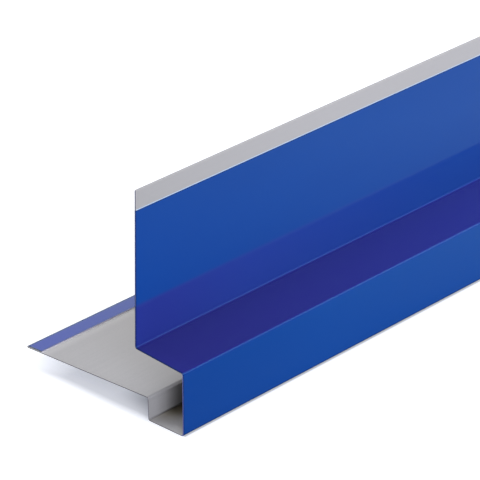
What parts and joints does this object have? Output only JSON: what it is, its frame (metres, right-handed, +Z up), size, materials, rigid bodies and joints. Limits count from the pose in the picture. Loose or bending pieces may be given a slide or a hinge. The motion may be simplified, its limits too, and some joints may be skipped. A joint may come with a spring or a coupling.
{
  "type": "wall flashing",
  "caption": "Long folded sheet-metal wall flashing: boxed ledge with a hemmed upright above it and a wide hemmed flange behind it.",
  "frame": {"origin": "middle of the box floor's underside, at half the length", "axes": "+X along the strip, +Y from the front face to the flange, +Z up"},
  "size_m": [2, 0.1569, 0.1765],
  "materials": {
    "blue_paint": "satin",
    "grey_back_coat": "matte",
    "cut_edge": "satin"
  },
  "bodies": {
    "root": {"flashing": "blue_paint"}
  },
  "joints": []
}
